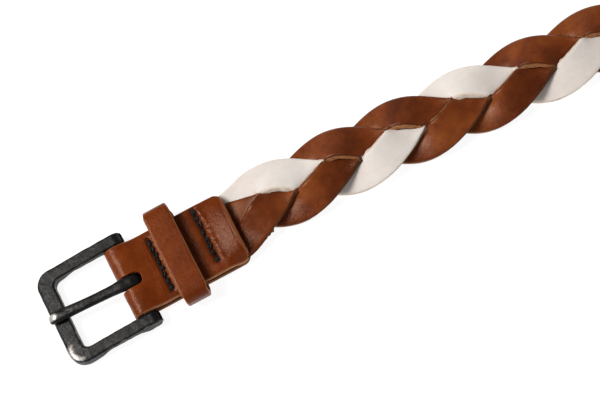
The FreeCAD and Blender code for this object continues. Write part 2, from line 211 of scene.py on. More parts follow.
def strap_solid(name, rows, material, columns=24, closed=False, roughness=0.10, seed=1,
                edge_round=0.45):
    """A strip of leather. Each row is (centre, across, up, (v0, v1), thickness, s, lift), where
    lift(v) raises the grain side. Cut edges are rounded, a little rough, and marked."""
    vertices, cut, along, across_at = [], [], [], []
    wall = (0.78, 0.5, 0.22)
    shares = np.linspace(0, 1, columns)
    shares = 0.5 - 0.5 * np.cos(np.pi * shares) * (1 - 0.35 * np.sin(np.pi * shares) ** 2)
    for centre, across, up, (v0, v1), thickness, s, lift in rows:
        half = thickness / 2
        values = v0 + (v1 - v0) * shares
        ring = []
        for v in values:
            near = min(v - v0, v1 - v)
            drop = edge_round * max(0.0, 1 - near / (edge_round * 1.6)) ** 2
            ring.append((v, half - drop + (lift(v) if lift else 0.0), 0.0, near))
        for edge, sign, order in ((v1, 1, wall), (v0, -1, wall[::-1])):
            if sign < 0:
                for v in values[::-1]:
                    near = min(v - v0, v1 - v)
                    ring.append((v, -half + 0.2 * max(0.0, 1 - near / 0.5) ** 2, 0.35, near))
            height = thickness + (lift(edge) if lift else 0.0) - edge_round
            for share in order:
                fuzz = roughness * wobble(s * 1.3, share * 9, 1.1, seed + 3 - 2 * sign)
                bulge = 0.12 * math.sin(math.pi * share) + fuzz
                ring.append((edge + sign * bulge, -half + height * share, 1.0, 0.0))
        for v, height, is_cut, near in ring:
            vertices.append(centre + across * v + up * height)
            cut.append(is_cut if is_cut else max(0.0, 0.75 - near * 1.6))
            along.append(s)
            across_at.append(v)
    ring_size = 2 * columns + 2 * len(wall)
    count = len(rows)
    if not closed:
        vertices = vertices[:ring_size] + vertices + vertices[-ring_size:]
        cut = [1.0] * ring_size + cut + [1.0] * ring_size
        along = along[:ring_size] + along + along[-ring_size:]
        across_at = across_at[:ring_size] + across_at + across_at[-ring_size:]
        count += 2
    faces = tube_faces(count, ring_size, closed)
    attributes = {"cut": cut, "along": along, "across": across_at, "stain_and_painted_shade": [0.0] * len(cut)}
    return new_object(name, vertices, faces, attributes, material)


def fix_normals(obj):
    """Faces turned outwards."""
    mesh = bmesh.new()
    mesh.from_mesh(obj.data)
    bmesh.ops.recalc_face_normals(mesh, faces=mesh.faces)
    mesh.to_mesh(obj.data)
    mesh.free()


def attach(obj, node, body):
    """Hide the CAD node a piece stands for, and put the piece on its body."""
    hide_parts(node)
    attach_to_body(obj, body)


def cut_with(obj, cutter):
    """Boolean difference, applied, with the cutter removed."""
    modifier = obj.modifiers.new("cut", "BOOLEAN")
    modifier.object = cutter
    modifier.operation = "DIFFERENCE"
    modifier.solver = "EXACT"
    graph = bpy.context.evaluated_depsgraph_get()
    mesh = bpy.data.meshes.new_from_object(obj.evaluated_get(graph))
    obj.modifiers.clear()
    old = obj.data
    obj.data = mesh
    bpy.data.meshes.remove(old)
    bpy.data.objects.remove(cutter)


def prism(name, outline, z0, z1, material):
    """A closed upright prism over an outline of (x, y) points."""
    count = len(outline)
    vertices = [(x, y, z0) for x, y in outline] + [(x, y, z1) for x, y in outline]
    faces = [tuple(reversed(range(count))), tuple(range(count, 2 * count))]
    for i in range(count):
        j = (i + 1) % count
        faces.append((i, j, count + j, count + i))
    zeros = [0.0] * len(vertices)
    attributes = {"cut": [1.0] * len(vertices), "along": zeros, "across": zeros, "stain_and_painted_shade": zeros}
    return new_object(name, vertices, faces, attributes, material, smooth=False)


# ---------------------------------------------------------------- materials

def node_material(name):
    """An empty principled material and a helper that adds and links nodes."""
    material = bpy.data.materials.new(name)
    material.use_nodes = True
    tree = material.node_tree
    shader = tree.nodes["Principled BSDF"]

    def add(kind, inputs=None, **settings):
        node = tree.nodes.new(kind)
        for key, value in settings.items():
            setattr(node, key, value)
        for key, value in (inputs or {}).items():
            if isinstance(value, bpy.types.NodeSocket):
                tree.links.new(value, node.inputs[key])
            else:
                node.inputs[key].default_value = value
        return node

    def link(output, target):
        tree.links.new(output, target)

    return material, shader, add, link


def mix_colours(add, share, first, second, blend="MIX"):
    node = add("ShaderNodeMix", data_type="RGBA", blend_type=blend)
    sockets = {"Factor": node.inputs[0], "A": node.inputs[6], "B": node.inputs[7]}
    for key, value in (("Factor", share), ("A", first), ("B", second)):
        if isinstance(value, bpy.types.NodeSocket):
            node.id_data.links.new(value, sockets[key])
        else:
            sockets[key].default_value = value
    return node.outputs[2]


def ramp(add, value, stops):
    node = add("ShaderNodeValToRGB", {"Fac": value})
    elements = node.color_ramp.elements
    while len(elements) < len(stops):
        elements.new(0.5)
    for element, (position, colour) in zip(elements, stops):
        element.position = position
        element.color = colour if len(colour) == 4 else (*colour, 1.0)
    return node.outputs["Color"]


def grey(value):
    return (value, value, value, 1.0)


def attribute_node(add, name):
    return add("ShaderNodeAttribute", attribute_name=name).outputs["Fac"]


def noise_node(add, where, scale, detail, roughness=0.5):
    return add("ShaderNodeTexNoise", {"Vector": where, "Scale": scale, "Detail": detail,
                                      "Roughness": roughness}).outputs["Fac"]


def math_node(add, operation, first, second):
    return add("ShaderNodeMath", {0: first, 1: second}, operation=operation).outputs[0]


def range_node(add, value, low, high, to_low, to_high):
    return add("ShaderNodeMapRange", {"Value": value, "From Min": low, "From Max": high,
                                      "To Min": to_low, "To Max": to_high}).outputs[0]


def bump_node(add, height, strength, distance, below=None):
    """Bump over another bump, or over the plain surface."""
    inputs = {"Height": height, "Strength": strength, "Distance": distance}
    if below is not None:
        inputs["Normal"] = below
    return add("ShaderNodeBump", inputs).outputs[0]


def leather_material(name, dark, mid, light, edge_dark, edge_light, sheen_roughness, rim,
                     grain, stains=0.5, streaky=0.6):
    """Oiled smooth leather: cloudy dye, fine pores and creases on the grain side, a darker or
    paler rim, and a fibrous cut edge where the point attribute 'cut' is high. A further point
    attribute darkens it with real stains and painted shade."""
    material, shader, add, link = node_material(name)
    place_at = add("ShaderNodeTexCoord").outputs["Object"]
    cut, along, across, stain_and_painted_shade = (
        attribute_node(add, key) for key in ("cut", "along", "across", "stain_and_painted_shade"))
    flow = add("ShaderNodeCombineXYZ", {"X": along, "Y": across}).outputs[0]
    streak_at = add("ShaderNodeMapping", {"Vector": flow, "Scale": (0.10, 2.2, 1.0)}).outputs[0]
    fibre_at = add("ShaderNodeMapping", {"Vector": place_at, "Scale": (260.0, 260.0, 900.0)})
    cloud = noise_node(add, place_at, 55.0, 5.0, 0.55)
    fine = noise_node(add, place_at, 420.0, 6.0, 0.65)
    streaks = noise_node(add, streak_at, 1.6, 4.0)
    fibres = noise_node(add, fibre_at.outputs[0], 1.6, 5.0, 0.7)
    pores = add("ShaderNodeTexVoronoi", {"Vector": place_at, "Scale": 1500.0,
                                         "Randomness": 1.0}).outputs["Distance"]

    base = ramp(add, cloud, [(0.34, dark), (0.50, mid), (0.68, light)])
    speckle = ramp(add, fine, [(0.30, grey(0.80)), (0.55, grey(1.0)), (0.80, grey(1.10))])
    base = mix_colours(add, stains, base, speckle, "MULTIPLY")
    streak_tone = ramp(add, streaks, [(0.35, grey(0.88)), (0.65, grey(1.06))])
    base = mix_colours(add, streaky, base, streak_tone, "MULTIPLY")
    burnish = ramp(add, cut, [(0.10, grey(0.0)), (0.42, grey(1.0)), (0.74, grey(1.0)),
                              (0.97, grey(0.0))])
    base = mix_colours(add, burnish, base, rim)
    edge = ramp(add, fibres, [(0.34, edge_dark), (0.66, edge_light)])
    is_edge = ramp(add, cut, [(0.72, grey(0.0)), (0.98, grey(1.0))])
    colour = mix_colours(add, is_edge, base, edge)
    # darkened by a point attribute: real stains at the tab's stitch rows, and painted shade on hidden cut
    # edges, under the tab's end and just past the keeper
    colour = mix_colours(add, stain_and_painted_shade, colour, (0.10, 0.075, 0.06, 1), "MULTIPLY")
    link(colour, shader.inputs["Base Color"])

    rough = range_node(add, fine, 0.3, 0.75, sheen_roughness - 0.06, sheen_roughness + 0.12)
    edge_rough = math_node(add, "MULTIPLY", is_edge, 0.35)
    link(math_node(add, "ADD", rough, edge_rough), shader.inputs["Roughness"])

    grain_bump = bump_node(add, pores, 0.16 * grain, 0.00022)
    crease_bump = bump_node(add, fine, 0.30 * grain, 0.00035, grain_bump)
    fibre_height = math_node(add, "MULTIPLY", fibres, is_edge)
    fibre_bump = bump_node(add, fibre_height, 0.8, 0.0006, crease_bump)
    link(fibre_bump, shader.inputs["Normal"])
    shader.inputs["Specular IOR Level"].default_value = 0.22
    shader.inputs["Specular Tint"].default_value = (1.0, 0.70, 0.54, 1.0)
    return material


def metal_material(name, dark, mid, worn_and_highlight, roughness=0.42):
    """Antique cast metal: mottled patina, fine pits, and a brighter colour where a point attribute is
    high: rubbed places on the frame, painted highlights on the prong.
    """
    material, shader, add, link = node_material(name)
    place_at = add("ShaderNodeTexCoord").outputs["Object"]
    mottle = noise_node(add, place_at, 240.0, 6.0, 0.62)
    fine = noise_node(add, place_at, 1300.0, 4.0, 0.6)
    base = ramp(add, mottle, [(0.30, dark), (0.56, mid), (0.80, tuple(c * 1.35 for c in mid))])
    patch = math_node(add, "MULTIPLY", math_node(add, "ADD", mottle, fine), 0.27)
    # rubbed metal and painted highlights both get the brighter colour and a lower roughness
    rubbed = math_node(add, "ADD", attribute_node(add, "wear_and_painted_highlight"), patch)
    rubbed = ramp(add, rubbed, [(0.42, grey(0.0)), (0.85, grey(1.0))])
    colour = mix_colours(add, rubbed, base, (*worn_and_highlight, 1.0))
    link(colour, shader.inputs["Base Color"])
    rough = range_node(add, fine, 0.3, 0.7, roughness - 0.10, roughness + 0.14)
    polish = math_node(add, "MULTIPLY", rubbed, -0.08)
    link(math_node(add, "ADD", rough, polish), shader.inputs["Roughness"])
    pit = bump_node(add, fine, 0.35, 0.00018)
    link(bump_node(add, mottle, 0.45, 0.0006, pit), shader.inputs["Normal"])
    shader.inputs["Metallic"].default_value = 0.85
    shader.inputs["Specular IOR Level"].default_value = 0.5
    return material


def thread_material():
    """Black waxed linen thread, with its fuzz."""
    material, shader, add, link = node_material("waxed_thread")
    fuzz = noise_node(add, add("ShaderNodeTexCoord").outputs["Object"], 2600.0, 3.0, 0.7)
    tone = ramp(add, fuzz, [(0.3, (0.003, 0.003, 0.003)), (0.6, (0.007, 0.006, 0.006)),
                            (0.82, (0.030, 0.025, 0.023))])
    link(tone, shader.inputs["Base Color"])
    link(bump_node(add, fuzz, 0.6, 0.0002), shader.inputs["Normal"])
    shader.inputs["Roughness"].default_value = 0.52
    shader.inputs["Specular IOR Level"].default_value = 0.22
    return material


BROWN = leather_material(
    "strip_brown_leather", (0.094, 0.019, 0.005), (0.160, 0.034, 0.008), (0.245, 0.062, 0.013),
    (0.18, 0.060, 0.020), (0.44, 0.200, 0.080), sheen_roughness=0.26, rim=(0.07, 0.016, 0.005, 1),
    grain=1.2)
TAB_BROWN = leather_material(
    "tab_leather", (0.118, 0.020, 0.003), (0.155, 0.027, 0.004), (0.205, 0.041, 0.006),
    (0.22, 0.080, 0.030), (0.52, 0.250, 0.110), sheen_roughness=0.24, rim=(0.25, 0.085, 0.030, 1),
    grain=1.4)
WHITE = leather_material(
    "strip_white_leather", (0.720, 0.650, 0.600), (0.785, 0.720, 0.670), (0.825, 0.770, 0.725),
    (0.50, 0.36, 0.26), (0.86, 0.79, 0.71), sheen_roughness=0.50, rim=(0.72, 0.62, 0.52, 1),
    grain=0.7, stains=0.20, streaky=0.15)
GUNMETAL = metal_material("gunmetal", (0.008, 0.0077, 0.0076), (0.019, 0.0183, 0.0180),
                          (0.46, 0.43, 0.40))
STEEL = metal_material("steel", (0.16, 0.16, 0.16), (0.24, 0.24, 0.24), (0.5, 0.5, 0.5), 0.34)
THREAD = thread_material()

# ---------------------------------------------------------------- plait

WAVE = 2 * math.pi / WAVE_LENGTH
ANGLES, LANES = 98, 13
CONTACT = STRIP_THICKNESS * 1.05


def plan_side(angle):
    """Sideways place of a strip's middle line, and its slope, at a place on the wave."""
    return SWING * np.cos(angle), -SWING * WAVE * np.sin(angle)


def end_ranks():
    """Each strip's rank across the belt, -1, 0 or 1, where the plait runs into the billet."""
    arrival = WAVE * (PLAIT_END - SPREAD_RUN - FIRST_PEAK)
    order = sorted(range(3), key=lambda strip: math.cos(arrival + 2 * math.pi * strip / 3))
    return [order.index(strip) - 1 for strip in range(3)]


END_RANK = end_ranks()


def plait_relief():
    """Heights of one strip's middle surface over a full wave, on an (angle, lane) grid.

    The strips are pulled taut over and under each other: heights are smoothed like a stretched
    ribbon, and wherever two strips cross, the one on top is kept a strip's thickness above."""
    angle = np.arange(ANGLES) * 2 * np.pi / ANGLES
    lane = np.linspace(-STRIP_WIDTH / 2, STRIP_WIDTH / 2, LANES)
    angles, lanes = np.meshgrid(angle, lane, indexing="ij")
    side, slope = plan_side(angles)
    norm = np.sqrt(1 + slope ** 2)
    x = angles / WAVE - lanes * slope / norm
    y = side + lanes / norm
    third = 2 * np.pi / 3
    # foot of each point of the upper strip on the lower one, a third of a wave behind
    foot = x.copy()
    for _ in range(40):
        lower_side, lower_slope = plan_side(foot * WAVE - third)
        miss = (x - foot) + (y - lower_side) * lower_slope
        foot += 0.7 * miss / (1 + lower_slope ** 2)
    lower_side, lower_slope = plan_side(foot * WAVE - third)
    lower_norm = np.sqrt(1 + lower_slope ** 2)
    lower_lane = ((y - lower_side) - (x - foot) * lower_slope) / lower_norm
    crossing = np.abs(lower_lane) <= STRIP_WIDTH / 2 + 0.6
    grid_a = ((foot * WAVE - third) / (2 * np.pi) * ANGLES)[crossing]
    grid_l = (np.clip(lower_lane, -STRIP_WIDTH / 2, STRIP_WIDTH / 2)[crossing]
              / STRIP_WIDTH + 0.5) * (LANES - 1)
    a0, l0 = np.floor(grid_a).astype(int), np.minimum(np.floor(grid_l).astype(int), LANES - 2)
    fa, fl = grid_a - a0, grid_l - l0
    corners = [(a0 % ANGLES, l0, (1 - fa) * (1 - fl)), ((a0 + 1) % ANGLES, l0, fa * (1 - fl)),
               (a0 % ANGLES, l0 + 1, (1 - fa) * fl), ((a0 + 1) % ANGLES, l0 + 1, fa * fl)]
    above = np.nonzero(crossing)
    hang = 2.6 * np.sin(2 * angles) - LOBE_TILT * np.cos(angles) * lanes
    height = hang.copy()
    for _ in range(700):
        stretched = (np.roll(height, 1, 0) + np.roll(height, -1, 0)) / 2
        padded = np.pad(height, ((0, 0), (1, 1)), mode="reflect", reflect_type="odd")
        crosswise = (padded[:, :-2] + padded[:, 2:]) / 2
        height = height + 0.30 * (stretched - height) + 0.42 * (crosswise - height)
        height += 0.05 * (hang - height)
        for _ in range(2):
            below = sum(weight * height[a, l] for a, l, weight in corners)
            short = np.clip(CONTACT - (height[above] - below), 0, None) * 0.5
            push = np.zeros_like(height)
            count = np.zeros_like(height)
            np.add.at(push, above, short)
            np.add.at(count, above, 1.0)
            for a, l, weight in corners:
                np.add.at(push, (a, l), -short * weight)
                np.add.at(count, (a, l), weight)
            height = height + push / np.maximum(count, 1.0)
    return height


RELIEF = plait_relief()
PLAIT_LIFT = -RELIEF.min() + STRIP_THICKNESS / 2 + 0.15


def half_width(angle, sign):
    """How far a strip reaches to one side of its middle line, seen from above."""
    lobe = math.cos(angle)
    inner = ease((-sign * lobe - 0.05) / 0.45)
    return STRIP_WIDTH / 2 * (1 - 0.06 * lobe ** 2) + INNER_SWELL * inner


def relief_at(angle, lane):
    """The relief at any angle and lane, between its grid's points."""
    a = (angle / (2 * np.pi) * ANGLES) % ANGLES
    l = np.clip((lane / STRIP_WIDTH + 0.5) * (LANES - 1), 0, LANES - 1.001)
    a0, l0 = int(a), int(l)
    fa, fl = a - a0, l - l0
    a1 = (a0 + 1) % ANGLES
    return ((RELIEF[a0 % ANGLES, l0] * (1 - fl) + RELIEF[a0 % ANGLES, l0 + 1] * fl) * (1 - fa)
            + (RELIEF[a1, l0] * (1 - fl) + RELIEF[a1, l0 + 1] * fl) * fa)


def plait_middle(x):
    """The plait's sideways wander, which dies out before the billet."""
    wander = DRIFT_OFFSET + DRIFT * math.cos(2 * math.pi * (x - DRIFT_PEAK) / DRIFT_LENGTH)
    return wander * ease((PLAIT_END - SPREAD_RUN - x) / DRIFT_FADE)


def strip_side(x, strip):
    """A strip's sideways place and slope: a slanting tail in the tab, its wave, then a tail
    in the billet."""
    def side(at):
        share = ease((at - TAB_END) / (SPREAD_RUN + 5)) * ease((PLAIT_END - 0.4 - at) / SPREAD_RUN)
        wave, _ = plan_side(WAVE * (at - FIRST_PEAK) + 2 * math.pi * strip / 3)
        if at < TAB_END + TAIL_REACH:
            out = TAIL_BEND * math.log1p(math.exp((at - TAB_END) / TAIL_BEND))
            tail = TAIL_SIDE[strip] + TAIL_SLOPE[strip] * out
        else:
            tail = END_SPACING * END_RANK[strip]
        return tail + share * (float(wave) + plait_middle(at) - tail)
    return side(x), (side(x + 0.5) - side(x - 0.5))


def strip_point(x, lane, strip):
    """A point of a strip's middle surface, and its thickness there."""
    share = ease((x - TAB_END - 0.4) / SPREAD_RUN) * ease((PLAIT_END - 0.4 - x) / SPREAD_RUN)
    angle = WAVE * (x - FIRST_PEAK) + 2 * math.pi * strip / 3
    _, slope = strip_side(x, strip)
    norm = math.sqrt(1 + slope ** 2)
    layer = (TAIL_LAYER if x < TAB_END + TAIL_REACH else END_RANK)[strip]
    tail_height = LEATHER + LEG_GAP / 2 + layer * (SKIVED_THICKNESS + 0.04)
    y, _ = strip_side(x, strip)
    z = tail_height + share * (PLAIT_LIFT + relief_at(angle, lane) - tail_height)
    thickness = SKIVED_THICKNESS + share * (STRIP_THICKNESS - SKIVED_THICKNESS)
    return Vector((x - lane * slope / norm, y + lane / norm, z)), thickness


def make_strip(name, strip, material, seed):
    """One plait strip as a closed mesh: grain side, cut edges and flesh side."""
    columns = 15
    start, end = TAB_END - STRIP_TAIL, PLAIT_END + STRIP_TAIL
    count = int((end - start) / 1.05)
    wall = (0.80, 0.5, 0.2)
    vertices, cut, along, across_at, stain_and_painted_shade = [], [], [], [], []
    shares = np.linspace(-1, 1, columns)
    shares = np.sign(shares) * (1 - (1 - np.abs(shares)) ** 1.35)
    for index in range(count + 1):
        x = start + (end - start) * index / count
        angle = WAVE * (x - FIRST_PEAK) + 2 * math.pi * strip / 3
        width_left = half_width(angle, -1) + 0.16 * wobble(x, 0, 19, seed)
        width_right = half_width(angle, 1) + 0.16 * wobble(x, 9, 19, seed + 2)
        lanes = [share * (width_right if share > 0 else width_left) for share in shares]
        if strip == 1:
            width_right -= 1.9 * bump_shape(x, TAB_END + 15.5, 9.0)
        rising = ease(-math.sin(angle) * 1.6)
        flare = {1: rim_flare(x, angle, 1), -1: rim_flare(x, angle, -1)}
        points = [strip_point(x, lane, strip) for lane in lanes]
        middles = [p for p, _ in points]
        thickness = points[columns // 2][1]
        ahead = strip_point(x + 0.8, 0.0, strip)[0] - strip_point(x - 0.8, 0.0, strip)[0]
        normals = []
        for j in range(columns):
            sideways = middles[min(j + 1, columns - 1)] - middles[max(j - 1, 0)]
            normals.append(ahead.cross(sideways).normalized())
        ring = []
        for j, lane in enumerate(lanes):
            near = min(lane - lanes[0], lanes[-1] - lane)
            drop = 0.42 * max(0.0, 1 - near / 0.75) ** 2
            swell = 0.05 * wobble(x, lane, 7, seed + 3)
            ring.append((middles[j] + normals[j] * (thickness / 2 - drop + swell), 0.0, near, lane))
        for end_index, sign in ((columns - 1, 1), (0, -1)):
            sideways = (middles[end_index] - middles[end_index - sign]).normalized()
            side_ring = []
            for share in wall:
                fuzz = (0.10 + 0.14 * flare[sign]) * wobble(x * 1.4, share * 8, 1.0, seed + 4 + sign)
                out = 0.10 * math.sin(math.pi * share) + fuzz + burr(x, seed + sign)
                out += flare[sign] * (1 - share)
                if strip == 2 and sign < 0:
                    out += 2.6 * bump_shape(x, TAB_END + 7, 9) * max(0.0, wobble(x, 0, 1.2, 17))
                level = -thickness / 2 + (thickness - 0.42) * share
                point = middles[end_index] + sideways * out + normals[end_index] * level
                side_ring.append((point, 1.0, 0.0, lanes[end_index]))
            if sign > 0:
                ring.extend(side_ring)
                for j in reversed(range(columns)):
                    near = min(lanes[j] - lanes[0], lanes[-1] - lanes[j])
                    drop = 0.15 * max(0.0, 1 - near / 0.6) ** 2
                    point = middles[j] - normals[j] * (thickness / 2 - drop)
                    if j in (0, columns - 1):
                        inside = middles[1] if j == 0 else middles[columns - 2]
                        outwards = (middles[j] - inside).normalized()
                        point += outwards * flare[-1 if j == 0 else 1]
                    ring.append((point, 0.45, near, lanes[j]))
            else:
                ring.extend(side_ring[::-1])
        for point, is_cut, near, lane in ring:
            vertices.append(point)
            cut.append(is_cut if is_cut else max(0.0, 0.72 - near * 1.3))
            along.append(x)
            across_at.append(lane)
            # painted shade: the near cut edge darkened where the strip rises, and the strips darkened
            # where they run under the tab's end
            painted_shade_edge = 0.8 * rising if is_cut and lane < 0 else 0.0
            stain_and_painted_shade.append(max(painted_shade_edge, 0.55 * bump_shape(x, TAB_END, 2.6)))
    ring_size = 2 * columns + 2 * len(wall)
    faces = tube_faces(count + 1, ring_size, False)
    attributes = {"cut": cut, "along": along, "across": across_at, "stain_and_painted_shade": stain_and_painted_shade}
    obj = new_object(name, vertices, faces, attributes, material)
    fix_normals(obj)
    attach(obj, name, "strap")


def rim_flare(x, angle, sign):
    """Spread of a strip's flesh side past its grain side: where the strip lies on another one
    and its inner edge is pressed out, and a little where its outer edge hangs."""
    over = ease(0.42 + math.sin(2 * angle + 0.35))
    inner = ease((0.15 - sign * math.cos(angle)) / 0.5)
    outer = ease(sign * math.cos(angle) + 0.1) * ease(0.3 - sign * math.sin(angle))
    open_run = ease((x - TAB_END - 4) / 6) * ease((PLAIT_END - 8 - x) / 6)
    spread = RIM_FLARE * over * inner + OUTER_FLARE * outer
    return spread * open_run * (1 + 0.30 * wobble(x, angle, 5.0, 33 + sign))


def burr(x, seed):
    """Now and then a fibre stands out from the cut edge."""
    value = wobble(x, 3, 4.0, seed + 11)
    return 0.55 * max(0.0, value - 0.55)


# ---------------------------------------------------------------- tab

def tab_profile(step):
    """The tab's middle line: (x, z, up_x, up_z, s) from the back leg's end, round the fold."""
    mid = AXIS_Z - LEATHER / 2
    level = LEATHER + LEG_GAP + LEATHER / 2
    rows = []
    back = int(TAB_END / step)
    for i in range(back):
        x = TAB_END * (1 - i / back)
        rows.append((x, LEATHER / 2, 0.0, -1.0, TAB_END - x))
    s = TAB_END
    turns = 34
    for i in range(turns):
        angle = -math.pi / 2 - math.pi * i / turns
        c, d = math.cos(angle), math.sin(angle)
        rows.append((mid * c, AXIS_Z + mid * d, c, d, s + mid * math.pi * i / turns))
    s += mid * math.pi
    top = AXIS_Z + mid
    drop = top - level
    bend = (FOLD_RUN_OUT ** 2 + drop ** 2) / (4 * drop)
    for i in range(back + 1):
        x = TAB_END * i / back
        if x < FOLD_RUN_OUT / 2:
            z = top - bend + math.sqrt(bend ** 2 - x ** 2)
            tilt = x / bend
        elif x < FOLD_RUN_OUT:
            back_x = FOLD_RUN_OUT - x
            z = level + bend - math.sqrt(bend ** 2 - back_x ** 2)
            tilt = back_x / bend
        else:
            z, tilt = level, 0.0
        rows.append((x, z, math.sin(tilt), math.cos(tilt), s + x))
    return rows


def end_inset(distance):
    """How far a strap's side is drawn in at a distance from its end, to round the corner."""
    into = max(0.0, STRAP_CORNER - distance)
    return STRAP_CORNER - math.sqrt(max(0.0, STRAP_CORNER ** 2 - into ** 2))


def front_leg_shape(x, y):
    """Lift of the front leg's surface: pulled down at the stitching, full over the strips."""
    lift = 0.0
    for row, depth, middle in ((ROW_FRONT, 0.95, -0.3), (ROW_REAR, 1.10, 1.9)):
        inside = ease((15.4 - abs(y - middle)) / 2.4)
        line = row + 0.35 * wobble(0, y, 5.0, row)
        lift -= depth * bell(x - line, 1.5) * inside
        ridge = 0.20 + 0.26 * wobble(x, y, 3.2, row + 3)
        lift += ridge * bell(x - line - 3.0, 1.1) * inside
        pucker = math.sin((y + 1.0 + 0.8 * wobble(x, y, 6, 44)) * 2 * math.pi / STITCH)
        lift += 0.20 * pucker * bell(x - line - 2.0, 1.7) * inside
    groove = ease((14.8 - abs(y)) / 1)
    lift -= 0.16 * bell(x - ROW_FRONT + 2.7, 0.35) * groove
    over = min(1.0, max(0.0, (x - ROW_REAR - 1.0) / (TAB_END - ROW_REAR - 1.5))) ** 1.25
    fullest = -4.0
    crown = 1 - min(1.0, abs(y - fullest) / (HALF_BELT + math.copysign(fullest, y - fullest))) ** 2
    lift += over * (2.9 * crown - 0.8)
    lift -= 0.30 * ease((abs(y) - 14.5) / 3.0) * (1 - over)
    lift -= 0.55 * ease((x - TAB_END + 1.7) / 1.7) ** 2
    lift -= 0.14 * bell(x - TAB_END + 1.9, 0.35)
    return lift + 0.10 * wobble(x, y, 9.0, 21) + 0.04 * wobble(x, y, 3.5, 22)


def make_tab():
    """The folded tab, its slot cut for the prong, its end rounded."""
    rows = []
    for x, z, up_x, up_z, s in tab_profile(0.45):
        half = HALF_BELT - end_inset(TAB_END - x) + 0.25 * bump_shape(x, -2.0, 9.0)
        v0 = -half + 0.12 * wobble(s, 0, 12, 31)
        v1 = half + 0.12 * wobble(s, 5, 12, 32)
        centre, up = Vector((x, 0, z)), Vector((up_x, 0, up_z))
        rows.append((centre, Vector((0, 1, 0)), up, (v0, v1), LEATHER, s, None))
    obj = strap_solid("buckle_tab", rows, TAB_BROWN, columns=64, seed=41)
    mesh = obj.data
    level = (LEATHER + LEG_GAP - 0.8) * MM
    cut, stain_and_painted_shade = mesh.attributes["cut"].data, mesh.attributes["stain_and_painted_shade"].data
    for index, vertex in enumerate(mesh.vertices):
        x = (vertex.co.x - AXIS_X) / MM
        y, z = vertex.co.y / MM, vertex.co.z / MM
        if vertex.co.z > level and x > 0:
            fade = ease(x / 8.0)
            pinch = ease((x - 44) / 8) * ease((-y - 12.5) / 4.5)
            vertex.co.z += (front_leg_shape(x, y) * fade - 2.1 * pinch) * MM
            if z > level / MM + LEATHER / 2:
                # the front leg is darkened by real stains at the stitch rows and by a painted shadow of
                # the keeper
                rub, stain_and_shadow = tab_wear(x, y)
                cut[index].value = max(cut[index].value, rub)
                stain_and_painted_shade[index].value = stain_and_shadow
        elif cut[index].value > 0.9 and x > -3:
            # painted shade: the cut edges of the back leg and lower fold, under the front leg, darkened
            stain_and_painted_shade[index].value = 0.72
        if x < 8 and z > AXIS_Z:
            ripple = 0.16 * wobble(z * 2 + x, y, 5.0, 47) + 0.06 * wobble(z + x, y, 2.2, 48)
            vertex.co += vertex.normal * ripple * (1 - ease(x / 8.0)) * MM
    mid_height = LEATHER + LEG_GAP / 2
    levels = ((-3.0, mid_height), (mid_height, 16.0))
    for end, corner, (low, high) in zip(SLOT_ENDS, SLOT_CORNERS, levels):
        cut_with(obj, prism("slot_cutter", slot_outline(end, corner), low, high, TAB_BROWN))
    attach(obj, "buckle_tab", "strap")


def slot_outline(end, corner):
    """The prong slot in plan, open towards the fold, its inner end's corners rounded."""
    outline = []
    near, far = PRONG_ROOT_Y - SLOT_HALF, PRONG_ROOT_Y + SLOT_HALF
    for cy, start in ((near + corner, -90), (far - corner, 0)):
        for i in range(9):
            a = math.radians(start + 90 * i / 8)
            outline.append((end - corner + corner * math.cos(a), cy + corner * math.sin(a)))
    return outline + [(-12.0, far), (-12.0, near)]


def tab_wear(x, y):
    """How rubbed (0 to 0.5) the front leg's grain is, and how dark (0 to 1): real stains at the stitch
    rows and a painted shadow just past the keeper.
    """
    rub, stain_and_shadow = 0.0, 0.0
    for row, middle in ((ROW_FRONT, -0.3), (ROW_REAR, 1.9)):
        inside = ease((15.6 - abs(y - middle)) / 1.6)
        stain_and_shadow += 0.75 * bell(x - row, 1.25) * inside
        speck = max(0.0, wobble(x, y, 1.5, 61) + 0.35)
        rub += 0.34 * speck * bell(x - row - 2.2, 0.8) * inside
        rub += 0.22 * speck * bell(x - row + 2.3, 0.5) * inside
    # painted shadow of the keeper on the front leg, just past it
    stain_and_shadow += 0.45 * bump_shape(x, KEEPER_END + 1.0, 5.0) * ease((x - KEEPER_END + 2) / 2)
    rub += 0.42 * bell(x - TAB_END + 0.6, 0.6)
    return min(0.5, rub), min(1.0, stain_and_shadow)


# ---------------------------------------------------------------- keeper

